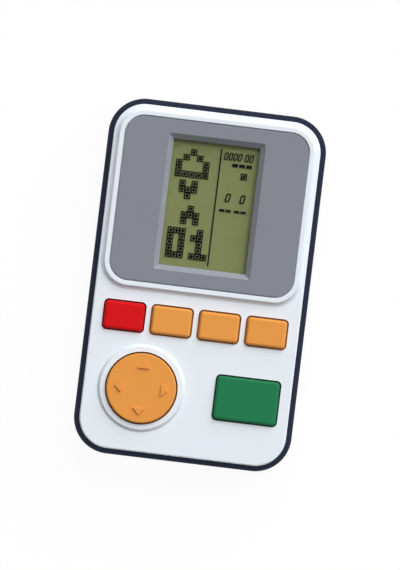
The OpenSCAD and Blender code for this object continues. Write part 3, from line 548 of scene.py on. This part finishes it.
# %% [markdown]
# ## Display, layer by layer
#
# A reflective display is a stack: a rear sheet with a grey-green reflector, the liquid crystal,
# which turns dark where a segment is switched on, and a front sheet of clear glass. The segments
# float a quarter of a millimetre above the reflector and shade it, which fills the narrow gaps
# between them with soft shadow, and the panel's slope shades the display's edge. A flat picture on
# one surface would not show that, so each layer is a piece of its own.
#
# Glass and acrylic bend light, so what lies under them looks about a third nearer. The clear sheets
# here are thin skins that bend nothing. The front glass is therefore drawn 0.12 mm thick instead of
# the CAD sheet's 0.8 mm, which puts the segments at about the depth where the eye sees them.
#
# All layers are flat plates. `prisms` makes any number of them at once: the corners of all the
# outlines are one array, each outline is lifted to two heights, and the faces are index arithmetic
# on that array.

# %% Plates with numpy
QUARTER_TURNS = np.array([
    [[1, 0], [0, 1]], [[0, 1], [-1, 0]], [[-1, 0], [0, -1]], [[0, -1], [1, 0]],
])
ARC_POINTS = 8


def prisms(outlines, low, high):
    """Upright prisms. outlines has shape (count, corners, 2), anticlockwise, and low and high are
    their heights. Corner j of outline i becomes point 2 * (i * corners + j) below and the next
    point above."""
    outlines = np.asarray(outlines, float)
    count, corners = outlines.shape[:2]
    points = np.empty((count, corners, 2, 3))
    points[..., :2] = outlines[:, :, None, :]
    points[..., 2] = (low, high)
    base = 2 * np.arange(count * corners).reshape(count, corners)
    after = np.roll(base, -1, axis=1)
    walls = np.stack([base, after, after + 1, base + 1], axis=-1).reshape(-1, 4)
    faces = [*base[:, ::-1].tolist(), *(base + 1).tolist(), *walls.tolist()]
    return points.reshape(-1, 3), faces


def rounded_rectangle(low, high, radius):
    """Outline of a rectangle with round corners: four quarter circles about points radius inside
    the corners."""
    turn = np.linspace(0, math.pi / 2, ARC_POINTS)
    arc = radius * np.stack([np.cos(turn), np.sin(turn)], axis=-1)
    corners = np.array([high, (low[0], high[1]), low, (high[0], low[1])])
    centres = corners - radius * np.array([(1, 1), (-1, 1), (-1, -1), (1, -1)])
    return (centres[:, None] + arc @ QUARTER_TURNS).reshape(-1, 2)


# %% [markdown]
# Two more helpers serve all the new pieces. `piece` makes the object, hangs it on the body it rides
# on and gives it its material. `tube` closes a row of rings, and `smooth` shades what is round.

# %% New pieces
CREASE = math.radians(40)


def piece(name, points, faces, body, material):
    """A mesh object at the origin, with its place in its points, that rides on a CAD body."""
    mesh = bpy.data.meshes.new(name)
    mesh.from_pydata(np.asarray(points).tolist(), [], faces)
    mesh.validate()
    mesh.materials.append(material)
    made = bpy.data.objects.new(name, mesh)
    scene.collection.objects.link(made)
    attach(made, body)
    print(f"{name}: {len(mesh.vertices)} points, {len(mesh.polygons)} faces")
    return made


def tube(rings):
    """Closed skin over rings of points, shape (rings, points, 3): quads between neighbours and a
    cap on each end."""
    index = np.arange(rings.shape[0] * rings.shape[1]).reshape(rings.shape[:2])
    after = np.roll(index, -1, axis=1)
    sides = np.stack([index[:-1], after[:-1], after[1:], index[1:]], axis=-1).reshape(-1, 4)
    return rings.reshape(-1, 3), [index[0, ::-1].tolist(), index[-1].tolist(), *sides.tolist()]


def smooth(made):
    """Smooth shading, with a crease wherever two faces meet at more than 40 degrees."""
    made.data.shade_smooth()
    made.data.set_sharp_from_angle(angle=CREASE)


# %% [markdown]
# ### Reflector and glass
#
# The reflector has a brushed grey-green skin with little gloss. The front glass lies on it and ends
# in a narrow shelf at the lower edge, where the contacts are. Both keep to the box of the CAD
# display.

# %% Reflector and glass
SHEET_T = 0.12 * MM
CELL_OVER_REFLECTOR = 0.25 * MM
SHELF_GAP = 0.3 * MM
FOIL_CORNER = 0.2 * MM
GLASS_ALPHA, GLASS_IOR = 0.02, 1.52
BRUSH_W, BRUSH_DEPTH, BRUSHED_ALONG_X = 0.4 * MM, 0.004 * MM, (0.1, 1.0, 1.0)
FOIL_CLOUD = 12 * MM

glass_low, glass_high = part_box("lcd_glass")
shelf_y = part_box("zebra_strip")[1].y + SHELF_GAP
cell_z = glass_high.z - SHEET_T
reflector_z = cell_z - CELL_OVER_REFLECTOR


def brushed_reflector(name, tint, drift):
    """Fine lines along X move the roughness and the height. A slow cloud moves the colour."""
    material, tree, place = new_finish(name)
    lines = noise(tree, squeezed(tree, place, BRUSHED_ALONG_X), BRUSH_W, 2.0)
    cloud = noise(tree, place, FOIL_CLOUD, 2.0)
    return surface(material, {
        "Base Color": blend(tree, cloud, linear(tint), linear(drift)),
        "Roughness": between(tree, lines, 0.5, 0.65),
        "Normal": raised(tree, lines, BRUSH_DEPTH), "Specular IOR Level": 0.2,
    })


# brushed foil: an even olive with hardly any gloss and faint lines where light grazes it
foil = brushed_reflector("grey_green_brushed_reflector", "#8B935F", "#878E5B")
outline = rounded_rectangle((glass_low.x, shelf_y), (glass_high.x, glass_high.y), FOIL_CORNER)
points, faces = prisms([outline], glass_low.z, reflector_z)
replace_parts(piece("lcd_reflector", points, faces, "case", foil), "lcd_glass")

# polished glass under a polariser: hardly there, but for a faint reflection
glass = clear_sheet("soda_glass_with_polariser", GLASS_ALPHA, GLASS_IOR)
section = np.array([
    (shelf_y, reflector_z), (glass_high.y, reflector_z), (glass_high.y, glass_high.z),
    (glass_low.y, glass_high.z), (glass_low.y, cell_z), (shelf_y, cell_z),
])
points, faces = prisms([section], glass_low.x, glass_high.x)
points = points[:, [2, 0, 1]]
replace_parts(piece("lcd_sheets", points, faces, "case", glass), "lcd_glass")

# %% [markdown]
# ### Segments
#
# The block field at the left is made of small squares, each a ring with a round dot. It shows plain
# block figures: a pentagon, two arrowheads and a number. A row of text is a row of squares, and `#`
# marks a square that is on. Each figure has the place of its upper left square and the pitch of its
# squares, in millimetres from the middle of the visible display. One more square stands alone below
# the upper counters.

# %% Block field
RING_OUT, RING_IN, DOT = 0.80, 0.53, 0.42
DOT_POINTS = 12
FIGURES = [
    ((-8.94, 13.09), (1.73, -1.41), ["..#..", ".#.#.", "#...#", "#...#", "#####"]),
    ((-7.47, 5.16), (1.53, -1.57), ["#.#", "###", ".#."]),
    ((-6.18, -1.19), (1.54, -1.59), [".#.", "###", "#.#"]),
    ((-9.00, -6.96), (1.49, -1.53), ["###..#.", "#.#.##.", "#.#..#.", "#.#..#.", "###.###"]),
]
SINGLE_SQUARE = (7.70, 8.45)

lights = np.vstack([
    *(np.argwhere(np.array([list(row) for row in rows]) == "#")[:, ::-1] * pitch + np.array(first)
      for first, pitch, rows in FIGURES),
    SINGLE_SQUARE,
])
side = np.array([
    (-RING_OUT, -RING_OUT), (RING_OUT, -RING_OUT), (RING_IN, -RING_IN), (-RING_IN, -RING_IN),
])
squares = (lights[:, None, None] + side @ QUARTER_TURNS).reshape(-1, 4, 2)
turn = np.linspace(0, 2 * math.pi, DOT_POINTS, endpoint=False)
dots = lights[:, None] + DOT * np.stack([np.cos(turn), np.sin(turn)], axis=-1)
print(len(lights), "squares are on")

# %% [markdown]
# The counters at the right are leaning segment figures, all showing zero. A zero lies between an
# outline with cut corners and the same outline a stroke smaller all round. Point i of both outlines
# and the next point make one bar. Each bar shrinks a little towards its own middle, which leaves
# hairline gaps, and leaning the figure adds a share of the height to x.
#
# Under the counters stand level meters, plain rows of flat bars, and a line divides the display.
# All places and sizes are in millimetres.

# %% Counters and meters
LEAN = 0.17
BAR_SHRINK = 0.95
CUT_X, CUT_Y = 0.28, 0.15
CORNERS = np.array([
    (CUT_X, 0), (1 - CUT_X, 0), (1, CUT_Y), (1, 0.5), (1, 1 - CUT_Y),
    (1 - CUT_X, 1), (CUT_X, 1), (0, 1 - CUT_Y), (0, 0.5), (0, CUT_Y),
])
UPPER_ZEROS = [(x, 12.15) for x in (2.05, 3.21, 4.37, 5.53, 7.30, 8.46)]
LOWER_ZEROS = [(x, 1.55) for x in (3.5, 7.2)]
UPPER_METER = (4.45, 10.65)
LOWER_METERS = [(x, -0.9) for x in (2.5, 6.3)]
DIVIDER = [(1.18, -15.1), (1.50, -15.1), (1.50, 14.8), (1.18, 14.8)]


def zero(corner, width, height, stroke):
    """Ten bars between the outer and the inner outline, leaning, with the lower left corner at
    corner."""
    outer = CORNERS * (width, height)
    inner = stroke + CORNERS * (width - 2 * stroke, height - 2 * stroke)
    outer_next, inner_next = np.roll(outer, -1, axis=0), np.roll(inner, -1, axis=0)
    bars = np.stack([outer, outer_next, inner_next, inner], axis=1)
    middle = bars.mean(axis=1, keepdims=True)
    bars = middle + BAR_SHRINK * (bars - middle)
    bars[..., 0] += LEAN * bars[..., 1]
    return bars + corner


def meter(corner, count, width, height, pitch):
    """A row of bars, the first with its lower left corner at corner."""
    bar = np.array([(0, 0), (width, 0), (width, height), (0, height)])
    return corner + bar + np.outer(np.arange(count), (pitch, 0))[:, None]


counters = [zero(at, width=1.0, height=2.0, stroke=0.30) for at in UPPER_ZEROS]
counters += [zero(at, width=1.3, height=2.3, stroke=0.37) for at in LOWER_ZEROS]
meters = [meter(UPPER_METER, count=3, width=1.45, height=0.8, pitch=1.78)]
meters += [meter(at, count=2, width=1.35, height=0.6, pitch=1.65) for at in LOWER_METERS]
print(len(counters), "zeros,", len(meters), "meters")

# %% [markdown]
# Every kind of segment becomes one piece: thin prisms about the height of the liquid crystal.

# %% Segments in the liquid crystal
SEGMENT_T = 0.02 * MM
INK_CLOUD = 3 * MM


def segment_ink(name, tint, drift):
    """Switched-on liquid crystal: nearly black, with a noise that lets a trace of green through."""
    material, tree, place = new_finish(name)
    cloud = noise(tree, place, INK_CLOUD, 2.0)
    return surface(material, {
        "Base Color": blend(tree, cloud, linear(tint), linear(drift)),
        "Roughness": 0.6, "Specular IOR Level": 0.1,
    })


# switched crystal between polarisers: flat black with hardly any gloss
ink = segment_ink("switched_liquid_crystal", "#090A06", "#0E100A")
window_low, window_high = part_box("screen_window")
view_middle = np.array((window_low + window_high) / 2)[:2]
segments = {
    "lcd_rings": squares, "lcd_dots": dots, "lcd_counters": np.concatenate(counters),
    "lcd_meters": np.concatenate(meters), "lcd_divider": np.array([DIVIDER]),
}
for name, outlines in segments.items():
    points, faces = prisms(
        outlines * MM + view_middle, cell_z - SEGMENT_T / 2, cell_z + SEGMENT_T / 2)
    piece(name, points, faces, "case", ink)

# %% [markdown]
# ## Contact springs
#
# Open the door and two cone springs show behind the flat ends of the cells. They are wound from
# round nickelled wire. The CAD coil has six sides, enough for its motion model; here the same coil
# is drawn as a smooth tube. Its middle line is a helix about X whose radius shrinks from the plate
# to the cell. At each point, the direction of the line and the direction away from the axis give
# the plane in which a ring of points is laid.

# %% Contact springs
SPRING_WIDE, SPRING_TIP, SPRING_WIRE = 2.9 * MM, 1.2 * MM, 0.35 * MM
SPRING_TURNS = 3
RING_POINTS, LINE_POINTS = 14, 180


def cone_coil(plate_x, cell_x, y, z):
    """Tube round (x, r cos a, r sin a), where x and r change evenly from the plate to the cell and
    a makes the turns. A ring about c is c + w (n cos b + m sin b), where w is half the wire, n
    points away from the axis and is made square to the line t, and m = t x n."""
    share = np.linspace(0, 1, LINE_POINTS)
    angle = 2 * math.pi * SPRING_TURNS * share * (1 if cell_x > plate_x else -1)
    radius = SPRING_WIDE + (SPRING_TIP - SPRING_WIDE) * share
    run = plate_x + (cell_x - plate_x) * share
    line = np.stack([run, y + radius * np.cos(angle), z + radius * np.sin(angle)], axis=-1)
    t = np.gradient(line, axis=0)
    t /= np.linalg.norm(t, axis=1, keepdims=True)
    n = np.stack([np.zeros_like(share), np.cos(angle), np.sin(angle)], axis=-1)
    n -= (n * t).sum(axis=1, keepdims=True) * t
    n /= np.linalg.norm(n, axis=1, keepdims=True)
    m = np.cross(t, n)
    b = np.linspace(0, 2 * math.pi, RING_POINTS, endpoint=False)[None, :, None]
    return tube(line[:, None] + SPRING_WIRE / 2 * (n[:, None] * np.cos(b) + m[:, None] * np.sin(b)))


def box_middle(node):
    """Middle of a CAD node's box."""
    low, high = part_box(node)
    return (low + high) / 2


spring_low, spring_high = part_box("contact_springs")
spring_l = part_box("battery_cell_a")[0].x - spring_low.x
near, far = SPRING_WIRE / 2, spring_l - SPRING_WIRE / 2
for letter, plate_x, sign in (("a", spring_low.x, 1), ("b", spring_high.x, -1)):
    at = box_middle(f"battery_cell_{letter}")
    points, faces = cone_coil(plate_x + sign * near, plate_x + sign * far, at.y, at.z)
    coil = piece(f"contact_coil_{letter}", points, faces, "case", nickel)
    smooth(coil)
    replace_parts(coil, "contact_springs")

# %% [markdown]
# ## Key mat
#
# Under the keys lies one sheet of cast silicone with a hollow dome below each key and four below
# the disc. A pressed key folds its dome flat, and the dome lifts it back. A rigid solid can't fold,
# so the mat is drawn anew as a sheet and nine domes, each a piece with a mesh of its own.
#
# The sheet takes its outline and all its holes from the underside of the CAD mat. The triangles in
# that lowest plane are laid a second time on top, and every edge that belongs to only one of them
# becomes a wall.

# %% Sheet of the key mat
MAT_T = 0.8 * MM
SAME_PLANE = 0.001 * MM
WELD_DIGITS = 7

mat_low, mat_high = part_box("key_mat")
mat_top = mat_low.z + MAT_T


def thickened_underside(node, low, high):
    """Sheet from the triangles of a CAD node that lie at height low: themselves, a turned copy at
    high, and walls on open edges. An edge from a to b is open if no triangle has the edge from b
    to a."""
    mesh = node.data
    mesh.calc_loop_triangles()
    spots = np.empty(3 * len(mesh.vertices))
    mesh.vertices.foreach_get("co", spots)
    matrix = np.array(node.matrix_world)
    spots = spots.reshape(-1, 3) @ matrix[:3, :3].T + matrix[:3, 3]
    triangles = np.empty(3 * len(mesh.loop_triangles), int)
    mesh.loop_triangles.foreach_get("vertices", triangles)
    triangles = triangles.reshape(-1, 3)
    triangles = triangles[(abs(spots[triangles, 2] - low) < SAME_PLANE).all(axis=1)]
    flat = spots[triangles.ravel(), :2].round(WELD_DIGITS)
    flat, triangles = np.unique(flat, axis=0, return_inverse=True)
    triangles = triangles.reshape(-1, 3)
    count = len(flat)
    start, end = triangles.ravel(), np.roll(triangles, -1, axis=1).ravel()
    is_open = ~np.isin(start * count + end, end * count + start)
    start, end = start[is_open], end[is_open]
    walls = np.stack([end, start, start + count, end + count], axis=-1)
    points = np.vstack([np.insert(flat, 2, z, axis=1) for z in (low, high)])
    turned = triangles[:, ::-1] + count
    return points, [*triangles.tolist(), *turned.tolist(), *walls.tolist()]


points, faces = thickened_underside(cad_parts["key_mat"], mat_low.z, mat_top)
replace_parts(piece("mat_sheet", points, faces, "case", silicone), "key_mat")

# %% [markdown]
# A dome is turned about its own upright axis: from the ceiling of its hollow down to the foot, and
# outside from the foot up a thin curved skirt to the round pad that the key rests on. Under a key
# the pad is flat. The disc tilts, so its domes, which lie under the arrowheads, are crowned. On the
# real mat a key folds its pad down by its whole travel, and the disc rolls over its domes and folds
# them as far as its underside dips there. Here the domes are drawn at rest: travel and dip are
# listed beside each dome, but nothing folds them.

# %% Domes of the key mat
DOME_FOOT, DOME_PAD, DOME_HOLLOW = 2.7 * MM, 1.8 * MM, 1.5 * MM
HOLLOW_SHARE = 0.6
KEY_TRAVEL, KEY_SHOULDER = 1.0 * MM, 0.2 * MM
DISC_DIP, DISC_SHOULDER = 0.52 * MM, 1.12 * MM
DISC_DOME_AT = 5.85 * MM
SKIRT_POINTS, TURN_POINTS = 9, 40

dome_h = mat_high.z - mat_top


def dome(x, y, round_off):
    """Rings about the axis at x, y. The skirt's radius falls to the pad's with the square of the
    height left, and a quarter circle of radius round_off leads on to the pad."""
    share = np.linspace(0, 1, SKIRT_POINTS)
    skirt_r = DOME_PAD + (DOME_FOOT - DOME_PAD) * (1 - share) ** 2
    skirt = np.stack([skirt_r, (dome_h - round_off) * share], axis=-1)
    quarter = share * math.pi / 2
    arc = np.stack([np.cos(quarter), np.sin(quarter)], axis=-1)
    shoulder = (DOME_PAD, dome_h) - round_off * (1 - arc)
    hollow = [(DOME_HOLLOW, HOLLOW_SHARE * dome_h), (DOME_HOLLOW, 0)]
    radius, height = np.vstack([hollow, skirt, shoulder[1:]]).T[:, :, None]
    turn = np.linspace(0, 2 * math.pi, TURN_POINTS, endpoint=False)
    z = np.broadcast_to(mat_top + height, (len(height), TURN_POINTS))
    return tube(np.stack([x + radius * np.cos(turn), y + radius * np.sin(turn), z], axis=-1))


pressed = {key: (box_middle(f"{key}_key"), f"{key}_press", KEY_TRAVEL, KEY_SHOULDER)
           for key in ("power", "sound", "start", "reset", "action")}
hub = box_middle("pivot_ball")
for name, way, joint in (
    ("right", (1, 0, 0), "disc_left_right"), ("left", (-1, 0, 0), "disc_left_right"),
    ("up", (0, 1, 0), "disc_up_down"), ("down", (0, -1, 0), "disc_up_down"),
):
    pressed[name] = (hub + DISC_DOME_AT * Vector(way), joint, DISC_DIP, DISC_SHOULDER)
for name, (at, joint, dip, round_off) in pressed.items():
    points, faces = dome(at.x, at.y, round_off)
    made = piece(f"mat_dome_{name}", points, faces, "case", silicone)
    smooth(made)
    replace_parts(made, "key_mat")
    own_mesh(made)
